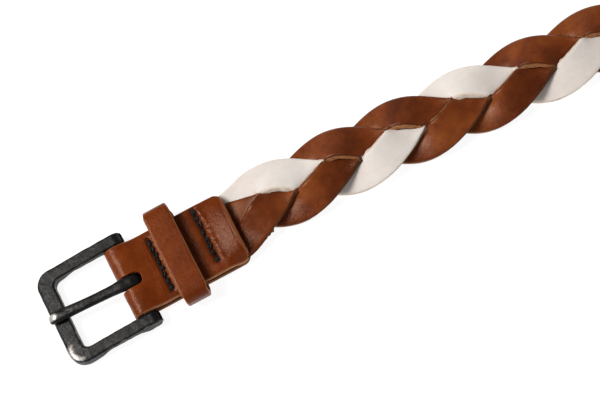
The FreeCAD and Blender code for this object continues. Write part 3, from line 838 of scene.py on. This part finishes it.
def make_keeper():
    """The keeper loop, its corners rounded, standing a little uneven."""
    y_mid, z_mid = (KEEPER_Y0 + KEEPER_Y1) / 2, (KEEPER_Z0 + KEEPER_Z1) / 2
    half_y = (KEEPER_Y1 - KEEPER_Y0) / 2 - KEEPER_LEATHER / 2
    half_z = (KEEPER_Z1 - KEEPER_Z0) / 2 - KEEPER_LEATHER / 2
    corner = KEEPER_CORNER
    path = []
    inner_y, inner_z = half_y - corner, half_z - corner
    centres = [(inner_y, inner_z), (-inner_y, inner_z), (-inner_y, -inner_z), (inner_y, -inner_z)]
    for turn, (cy, cz) in enumerate(centres):
        for i in range(11):
            a = math.radians(90 * turn + 9 * i)
            out_y, out_z = math.cos(a), math.sin(a)
            path.append((cy + corner * out_y, cz + corner * out_z, out_y, out_z))
        next_y, next_z = centres[(turn + 1) % 4]
        steps = 46 if turn % 2 == 0 else 6
        for i in range(1, steps):
            y, z = cy + (next_y - cy) * i / steps, cz + (next_z - cz) * i / steps
            path.append((y + corner * out_y, z + corner * out_z, out_y, out_z))
    rows, s = [], 0.0
    width = (KEEPER_END - KEEPER_START) / 2 - 0.35
    centre_x = (KEEPER_START + KEEPER_END) / 2
    for index, (y, z, out_y, out_z) in enumerate(path):
        previous = path[index - 1]
        s += math.hypot(y - previous[0], z - previous[1]) if index else 0.0
        top = out_z > 0.9
        sag = 0.28 * math.cos(y / half_y * math.pi / 2) if top else 0.0
        crease = 0.14 * bell(y - 5.0, 0.5) if top else 0.0
        centre = Vector((centre_x, y + y_mid, z + z_mid + sag - 0.25 * top - crease))
        drawn = 0.55 * bump_shape(abs(out_y), 0.8, 0.8)
        v0 = -width + drawn + 0.10 * wobble(s, 1, 10, 51)
        v1 = width - drawn + 0.10 * wobble(s, 6, 10, 52)
        rows.append((centre, Vector((1, 0, 0)), Vector((0, out_y, out_z)), (v0, v1),
                     KEEPER_LEATHER, s, None))
    obj = strap_solid("keeper_loop", rows[::-1], TAB_BROWN, columns=26, closed=True, seed=55)
    fix_normals(obj)
    attach(obj, "keeper_loop", "keeper")


# ---------------------------------------------------------------- stitching

def thread_tube(points, radius, plies, seed):
    """Vertices and faces of a twisted thread along a smooth line of points."""
    ring = 14
    vertices = []
    count = len(points)
    for i, point in enumerate(points):
        ahead = (points[min(i + 1, count - 1)] - points[max(i - 1, 0)]).normalized()
        side = ahead.cross(Vector((1, 0, 0)))
        side = side.normalized() if side.length > 1e-6 else Vector((0, 0, 1))
        other = ahead.cross(side).normalized()
        taper = min(1.0, 0.75 + 0.25 * min(i, count - 1 - i) / 3)
        for j in range(ring):
            angle = 2 * math.pi * j / ring
            twist = 1 + 0.16 * math.cos(plies * angle + i * 0.75 + seed)
            reach = radius * taper * twist
            vertices.append(point + (side * math.cos(angle) + other * math.sin(angle)) * reach)
    faces = tube_faces(count, ring, False)
    return vertices, faces


def make_row(name, x, y0, y1, dashes, surface, sway_width, seed):
    """A row of saddle stitches: doubled waxed thread, uneven by hand, dipping into each hole."""
    vertices, faces = [], []

    def add(points, radius, shift):
        new_vertices, new_faces = thread_tube(points, radius, 2, shift)
        base = len(vertices)
        vertices.extend(new_vertices)
        faces.extend([tuple(base + k for k in face) for face in new_faces])

    def uneven(index, kind):
        return noise.noise(Vector((index * 3.37 + 0.5, seed * 5.1, kind * 9.7)))

    holes = [y0 + (y1 - y0) * i / dashes + (0.8 * uneven(i, 0) if 0 < i < dashes else 0.0)
             for i in range(dashes + 1)]
    for index, (start, end) in enumerate(zip(holes, holes[1:])):
        lean = sway_width * (0.7 + uneven(index, 1)) * (-1) ** index
        shift = 0.45 * uneven(index, 2)
        full = 0.92 + 0.34 * uneven(index, 3)
        for strand in (-1, 1):
            points = []
            for i in range(17):
                t = i / 16
                y = start + 0.10 + (end - start - 0.20) * t
                arch = math.sin(math.pi * t) ** 0.55
                sway = strand * (0.16 + 0.34 * arch) + lean * (t - 0.5) * 2 + shift
                sway += 0.26 * math.sin(4.5 * t + 1.9 * index + strand)
                z = surface(x, y) - 1.2 + (1.80 + 0.20 * strand) * arch
                points.append(Vector((x + sway, y, z)))
            add(points, (0.67 + 0.07 * strand) * full, index * 1.7 + strand)
        under = [Vector((x + 0.2 * math.sin(t * 3), start + (end - start) * t,
                         0.95 - 0.25 * math.sin(math.pi * t)))
                 for t in np.linspace(0, 1, 10)]
        add(under, 0.6, index)
        post = [Vector((x, start + 0.1, z)) for z in np.linspace(0.9, surface(x, start) - 0.9, 8)]
        add(post, 0.55, index)
    obj = new_object(name, vertices, faces, {}, THREAD)
    fix_normals(obj)
    attach(obj, name, "strap")


def tab_surface(x, y):
    return LEATHER * 2 + LEG_GAP + front_leg_shape(x, y)


# ---------------------------------------------------------------- buckle

def frame_top(x):
    """Height of the frame's upper side along the arms, which droops towards the front bar."""
    centre = BOSS_END - BOSS_RADIUS
    if x > centre:
        return AXIS_Z - 0.3 + math.sqrt(max(0.0, BOSS_RADIUS ** 2 - (x - centre) ** 2))
    back = centre - x
    return AXIS_Z + 3.7 - 0.05 * back - 0.0006 * back ** 2


def frame_bottom(x):
    """Height of the frame's underside along the arms: arched between boss and front bar."""
    centre = BOSS_END - BOSS_RADIUS
    if x > centre:
        return AXIS_Z - math.sqrt(max(0.0, BOSS_RADIUS ** 2 - (x - centre) ** 2))
    boss = ease((x + 6.5) / 5.0)
    front = ease((-20.0 - x) / 10.0)
    arch = 4.0
    return arch + (AXIS_Z - BOSS_RADIUS - arch) * boss + (0.05 - arch) * front


def frame_path():
    """Outer and inner edge points of the frame in plan, from the far arm's end to the near's,
    each with its distance from the arm's end."""
    outer_half, inner_half = FRAME_HALF, FRAME_HALF - ARM_WIDTH
    front, window = FRAME_FRONT, FRAME_FRONT + FRONT_BAR
    outer_r, inner_r = FRAME_CORNER, WINDOW_CORNER
    straight_outer, straight_inner = front + outer_r, window + inner_r
    near_end = [0.0, 0.12, 0.35, 0.75, 1.3, 2.0, 2.8]
    rest = np.linspace(2.8, BOSS_END - straight_inner, 44)[1:]
    half = []
    for run in near_end + list(rest):
        share = run / (BOSS_END - straight_inner)
        half.append(((BOSS_END - (BOSS_END - straight_outer) * share, outer_half),
                     (BOSS_END - run, inner_half), run))
    far = BOSS_END - front
    for i in range(1, 17):
        a = math.radians(90 + 90 * i / 16)
        half.append(((straight_outer + outer_r * math.cos(a),
                      outer_half - outer_r + outer_r * math.sin(a)),
                     (straight_inner + inner_r * math.cos(a),
                      inner_half - inner_r + inner_r * math.sin(a)), far))
    for t in np.linspace(0, 1, 31)[1:]:
        half.append(((front, (outer_half - outer_r) * (1 - t)),
                     (window, (inner_half - inner_r) * (1 - t)), far))
    mirrored = [((ox, -oy), (ix, -iy), run) for (ox, oy), (ix, iy), run in reversed(half[:-1])]
    return half + mirrored


def bar_section(width, bevel):
    """A bar's section, as (place from the inner edge, above or below, drop from that side,
    outward share): flat sides joined by rounded bevels."""
    points = []
    for sign, side in ((1, 1), (-1, 1), (-1, -1), (1, -1)):
        arc = []
        for i in range(6):
            a = math.pi / 2 * i / 5
            arc.append((bevel * (1 - math.cos(a)), bevel * (1 - math.sin(a))))
        if sign * side < 0:
            arc.reverse()
        for inward, drop in arc:
            place_at = width - inward if sign > 0 else inward
            points.append((place_at, side, drop))
    top = points[5:7]
    full = points[:6]
    for i in range(1, 8):
        share = i / 8
        full.append((top[0][0] + (top[1][0] - top[0][0]) * share, 1, 0.0))
    full += points[6:12] + [(0.0, 0, 0.3), (0.0, 0, 0.7)] + points[12:18]
    for i in range(1, 6):
        full.append((bevel + (width - 2 * bevel) * i / 6, -1, 0.0))
    full += points[18:] + [(width, 0, 0.7), (width, 0, 0.3)]
    return full


def make_frame():
    """The cast frame as one closed skin: flat-topped bars, bevelled edges, an uneven face."""
    vertices, wear_and_painted_highlight = [], []
    path = frame_path()
    for (ox, oy), (ix, iy), run in path:
        out = Vector((ox - ix, oy - iy, 0))
        width = out.length
        out.normalize()
        inset = 0.0
        if run < ARM_END_ROUND:
            inset = ARM_END_ROUND - math.sqrt(ARM_END_ROUND ** 2 - (ARM_END_ROUND - run) ** 2)
        section = bar_section(width, BEVEL)
        for place_at, side, drop in section:
            share = place_at / width
            u = inset * 1.4 * share + place_at * (1 - 2.0 * inset / width) + inset * (1 - share) * 0.6
            x, y = ix + out.x * u, iy + out.y * u
            top, bottom = frame_top(x), frame_bottom(x)
            on_bar = ease((FRAME_FRONT + 9.5 - x) / 2.0) * (abs(y) < 16)
            top -= 0.85 * bump_shape(y, PRONG_TIP_Y, 4.4) * on_bar
            into = max(0.0, (FRAME_FRONT + 2.2 - x) / 2.2)
            top -= 0.7 * into ** 2 + inset * 0.8
            bottom += 0.6 * into ** 2 + inset * 0.8
            if side == 0:
                z = top - BEVEL - (top - bottom - 2 * BEVEL) * drop
            else:
                z = top - drop if side > 0 else bottom + drop
            rough = 0.12 * wobble(x, y + z * 0.7, 3.4, 61) + 0.06 * wobble(x, y + z, 1.5, 62)
            lean = share * 2 - 1
            point = Vector((x, y, z)) + out * rough * lean
            point.z = max(point.z + rough * side, 0.02)
            vertices.append(point)
            wear_and_painted_highlight.append(frame_wear(x, y, side, drop))
    ring = len(section)
    faces = tube_faces(len(path), ring, False)
    obj = new_object("buckle_frame", vertices, faces, {"wear_and_painted_highlight": wear_and_painted_highlight}, GUNMETAL)
    fix_normals(obj)
    attach(obj, "buckle_frame", "buckle")


def frame_wear(x, y, side, drop):
    """How brightly the frame is rubbed: at its near front corner, and faintly on top edges."""
    if side < 0:
        return 0.0
    reach = math.hypot(x - (FRAME_FRONT + 7.5), y + FRAME_HALF - 7.5)
    arc_place = bell(reach - 6.0, 1.5) * (x < FRAME_FRONT + 8.5) * (y < -13)
    along_arc = math.exp(-((x - FRAME_FRONT - 1.6) ** 2 + (y + FRAME_HALF - 4.5) ** 2) / 26.0)
    worn_and_highlight = 0.38 * arc_place * along_arc * (1 + 0.5 * wobble(x, y, 1.2, 78))
    worn_and_highlight += 0.13 * bump_shape(y, -14, 15) * (x < FRAME_FRONT + 8)
    if side > 0 and drop > 0.05:
        worn_and_highlight += 0.22 * (0.5 + wobble(x, y, 4, 77))
    return max(0.0, min(1.0, worn_and_highlight))


def prong_line():
    """Middle line of the prong as (x, z), half-thickness and half-width at each station."""
    stations = []
    for i in range(26):
        a = math.radians(-140 + 218 * i / 25)
        reach = 3.72 + 0.25 * (i / 25)
        grow = 1.28 + 0.35 * (i / 25)
        stations.append((1.09 * reach * math.cos(a), AXIS_Z + reach * math.sin(a), grow, 2.9))
    guide = [(-1.6, 9.1, 1.7, 3.0), (-4.5, 9.05, 1.9, 2.95), (-8.0, 8.75, 1.9, 2.65),
             (-14.0, 8.35, 1.8, 2.5), (-20.0, 8.15, 1.7, 2.5), (-26.0, 8.05, 1.65, 2.6),
             (-31.0, 8.05, 1.65, 2.75), (-35.0, 7.95, 1.7, 2.8), (-37.4, 7.6, 1.7, 2.65),
             (-39.1, 6.9, 1.6, 2.4), (-40.1, 6.0, 1.3, 2.0), (-40.5, 5.2, 0.8, 1.3)]
    return stations + guide


def make_prong():
    """The prong: curled round the heel bar, swelling at the root, its tip rolled over the bar."""
    line = prong_line()
    samples = []
    for i in range(len(line) - 1):
        p0, p1 = line[max(i - 1, 0)], line[i]
        p2, p3 = line[i + 1], line[min(i + 2, len(line) - 1)]
        steps = 6 if i > 24 else 2
        for k in range(steps):
            t = k / steps
            values = []
            for a, b, c, d in zip(p0, p1, p2, p3):
                values.append(0.5 * (2 * b + (c - a) * t + (2 * a - 5 * b + 4 * c - d) * t ** 2
                                     + (3 * b - a - 3 * c + d) * t ** 3))
            samples.append(values)
    samples.append(list(line[-1]))
    ring, vertices, wear_and_painted_highlight = 28, [], []
    count = len(samples)
    for i, (x, z, half_t, half_w) in enumerate(samples):
        before, after = samples[max(i - 1, 0)], samples[min(i + 1, count - 1)]
        ahead = Vector((after[0] - before[0], 0, after[1] - before[1])).normalized()
        up = Vector((0, 1, 0)).cross(ahead).normalized() * -1
        share = min(1.0, max(0.0, (-2.0 - x) / 38.0))
        y_mid = PRONG_ROOT_Y + (PRONG_TIP_Y - PRONG_ROOT_Y) * share
        last = count - 1 - i
        cap = 1.0 if last >= 4 else math.sqrt(max(0.0, 1 - ((4 - last) / 4.05) ** 2))
        start_cap = 1.0 if i >= 3 else math.sqrt(max(0.0, 1 - ((3 - i) / 3.1) ** 2))
        size = min(cap, start_cap)
        for j in range(ring):
            a = 2 * math.pi * j / ring
            c, d = math.cos(a), math.sin(a)
            across = half_w * size * math.copysign(abs(c) ** 0.72, c)
            level = half_t * size * math.copysign(abs(d) ** 0.78, d)
            rough = 1 + 0.018 * wobble(x + z, across * 2, 2.6, 71)
            point = Vector((x, y_mid + across * rough, z)) + up * level * rough
            vertices.append(point)
            # painted highlights on the prong's top: a bright spot near the tip, fainter ones at the root
            # and along the shank
            upper = max(0.0, -d)
            tip = math.exp(-((x + 38.7) / 1.4) ** 2 - ((across - 0.6) / 1.4) ** 2) * upper ** 0.5
            wear_and_painted_highlight.append(min(1.0, 1.2 * tip + 0.06 * bump_shape(x, -3.5, 6.0) * upper
                            + 0.20 * bump_shape(x, -30, 16) * upper ** 2))
    faces = tube_faces(count, ring, False)
    obj = new_object("prong", vertices, faces, {"wear_and_painted_highlight": wear_and_painted_highlight}, GUNMETAL)
    fix_normals(obj)
    attach(obj, "prong", "prong")


# ---------------------------------------------------------------- billet

def make_billet():
    """The plain strap at the free end: over the plait's ends, down, and flat to its point."""
    over = LEATHER + LEG_GAP
    first, second = PLAIT_END + 16.0, BACKING_END + 1.5

    def base(x):
        drop_one = ease((x - first) / BILLET_STEP)
        drop_two = ease((x - second) / BILLET_STEP)
        return over + (LEATHER + 0.05 - over) * drop_one - (LEATHER + 0.05) * drop_two

    rows = []
    point_start = BELT_TIP - BILLET_POINT
    xs = list(np.arange(PLAIT_END, point_start, 1.0))
    xs += [point_start + BILLET_POINT * math.sin(math.pi / 2 * i / 60) for i in range(61)]
    for x in xs:
        half = HALF_BELT - end_inset(x - PLAIT_END)
        into = (x - point_start) / BILLET_POINT
        if into > 0:
            half = HALF_BELT * max(0.02, (1 - into ** 2.25)) ** 0.62
        slope = (base(x + 0.3) - base(x - 0.3)) / 0.6
        up = Vector((-slope, 0, 1)).normalized()
        centre = Vector((x, 0, base(x) + BILLET_LEATHER / 2))
        rows.append((centre, Vector((0, 1, 0)), up, (-half, half), BILLET_LEATHER, x, billet_lift(x)))
    obj = strap_solid("billet_strap", rows, TAB_BROWN, columns=30, seed=81)
    fix_normals(obj)
    for hole in HOLES:
        angles = [2 * math.pi * i / 28 for i in range(28)]
        outline = [(hole + HOLE_RADIUS * math.cos(a), HOLE_RADIUS * math.sin(a)) for a in angles]
        cut_with(obj, prism("hole_cutter", outline, -2.0, 9.0, TAB_BROWN))
    attach(obj, "billet_strap", "strap")


def billet_lift(x):
    """The grain side's lift across the strap at x."""
    def lift(v):
        value = -0.22 * ease((abs(v) - 13.0) / 4.5)
        for row in (BILLET_ROW_A, BILLET_ROW_B):
            inside = ease((15.0 - abs(v)) / 2.0)
            value -= STITCH_DEPTH * bell(x - row, 1.7) * inside
        for hole in HOLES:
            reach = math.hypot(x - hole, v)
            if reach < 4.5:
                value -= 0.35 * (1 - ease((reach - 1.8) / 1.6))
        groove = abs(abs(v) - 15.6)
        value -= 0.16 * bell(groove, 0.35) * ease((BELT_TIP - 30 - x) / 6)
        return value
    return lift


def make_backing():
    """The short back layer under the plait's ends."""
    rows = []
    count = 80
    for i in range(count + 1):
        x = PLAIT_END + (BACKING_END - PLAIT_END) * i / count
        half = HALF_BELT - max(end_inset(x - PLAIT_END), end_inset(BACKING_END - x))
        rows.append((Vector((x, 0, LEATHER / 2)), Vector((0, 1, 0)), Vector((0, 0, 1)),
                     (-half, half), LEATHER, x, None))
    obj = strap_solid("billet_backing", rows, TAB_BROWN, columns=20, seed=91)
    fix_normals(obj)
    attach(obj, "billet_backing", "strap")


# ---------------------------------------------------------------- stage

def make_stage():
    """Pale floor, soft light from the upper left, and the long-lens camera."""
    scene = bpy.context.scene
    scene.view_settings.view_transform = "Standard"
    mesh = bpy.data.meshes.new("floor")
    size = 14.0
    mesh.from_pydata([(-size, -size, 0), (size, -size, 0), (size, size, 0), (-size, size, 0)],
                     [], [(0, 1, 2, 3)])
    floor = bpy.data.objects.new("floor", mesh)
    scene.collection.objects.link(floor)
    material, shader = node_material("floor")[:2]
    shader.inputs["Base Color"].default_value = (0.30, 0.30, 0.30, 1)
    shader.inputs["Roughness"].default_value = 0.9
    shader.inputs["Specular IOR Level"].default_value = 0.0
    shader.inputs["Emission Color"].default_value = (1, 1, 1, 1)
    shader.inputs["Emission Strength"].default_value = 0.88
    mesh.materials.append(material)

    world = bpy.data.worlds.new("world")
    scene.world = world
    world.use_nodes = True
    tree = world.node_tree
    background = tree.nodes["Background"]
    direction = tree.nodes.new("ShaderNodeTexCoord")
    height = tree.nodes.new("ShaderNodeSeparateXYZ")
    tone = tree.nodes.new("ShaderNodeValToRGB")
    tree.links.new(direction.outputs["Generated"], height.inputs[0])
    tree.links.new(height.outputs["Z"], tone.inputs["Fac"])
    tree.links.new(tone.outputs["Color"], background.inputs["Color"])
    tone.color_ramp.elements[0].color = (0.96, 0.96, 0.96, 1)
    tone.color_ramp.elements[1].position = 0.80
    tone.color_ramp.elements[1].color = (0.12, 0.12, 0.12, 1)
    background.inputs["Strength"].default_value = 0.90

    def area(name, place_from, aim, size_x, size_y, power, colour):
        light = bpy.data.lights.new(name, "AREA")
        light.shape = "RECTANGLE"
        light.size, light.size_y = size_x, size_y
        light.energy = power
        light.color = colour
        obj = bpy.data.objects.new(name, light)
        obj.location = place_from
        direction = Vector(aim) - Vector(place_from)
        obj.rotation_euler = direction.to_track_quat("-Z", "Y").to_euler()
        scene.collection.objects.link(obj)

    target = Vector(place((90, 0, 5)))
    area("key", target + Vector((-0.78, 0.34, 1.15)), target, 0.75, 0.6, 18.5, (1.0, 0.985, 0.965))
    area("fill", target + Vector((0.7, -1.1, 1.3)), target, 1.4, 1.0, 2.5, (0.98, 0.99, 1.0))

    camera_data = bpy.data.cameras.new("camera")
    camera = bpy.data.objects.new("camera", camera_data)
    scene.collection.objects.link(camera)
    scene.camera = camera
    back = Vector(CAMERA_BACK).normalized()
    roll = math.radians(CAMERA_ROLL)
    along = Vector((1, 0, 0)) - back * back.x
    along.normalize()
    right = along * math.cos(roll) - back.cross(along) * math.sin(roll)
    up = back.cross(right)
    camera.location = Vector(place(CAMERA_AIM)) + back * CAMERA_DISTANCE
    camera.rotation_mode = "QUATERNION"
    camera.rotation_quaternion = Matrix((right, up, back)).transposed().to_quaternion()
    camera_data.sensor_width = SENSOR
    camera_data.lens = SENSOR * CAMERA_DISTANCE / VIEW_WIDTH
    camera_data.clip_start, camera_data.clip_end = 0.05, 60.0


# ---------------------------------------------------------------- build

def main():
    strips = (("strand_white", WHITE, "strip_white"), ("strand_brown_b", BROWN, "strip_brown"),
              ("strand_brown_a", BROWN, "strip_brown"))
    for index, (name, material, slot) in enumerate(strips):
        make_strip(name, index, material, 11 + 9 * index)
    make_tab()
    make_keeper()
    make_row("tab_stitch_front", ROW_FRONT, -14.0, 13.3, STITCHES, tab_surface, 0.45, 1)
    make_row("tab_stitch_rear", ROW_REAR, -12.6, 16.4, STITCHES, tab_surface, 0.55, 2)
    billet_top = LEATHER + LEG_GAP + BILLET_LEATHER - STITCH_DEPTH
    make_row("billet_stitch_inner", BILLET_ROW_A, -14.0, 14.0, STITCHES, lambda x, y: billet_top, 0.45, 3)
    make_row("billet_stitch_outer", BILLET_ROW_B, -14.0, 14.0, STITCHES, lambda x, y: 5.3, 0.45, 4)
    make_frame()
    make_prong()
    make_billet()
    make_backing()
    for node in ("heel_bar", "keeper_staple"):
        frame["nodes"][node].material_slots[0].material = STEEL
    make_stage()


main()
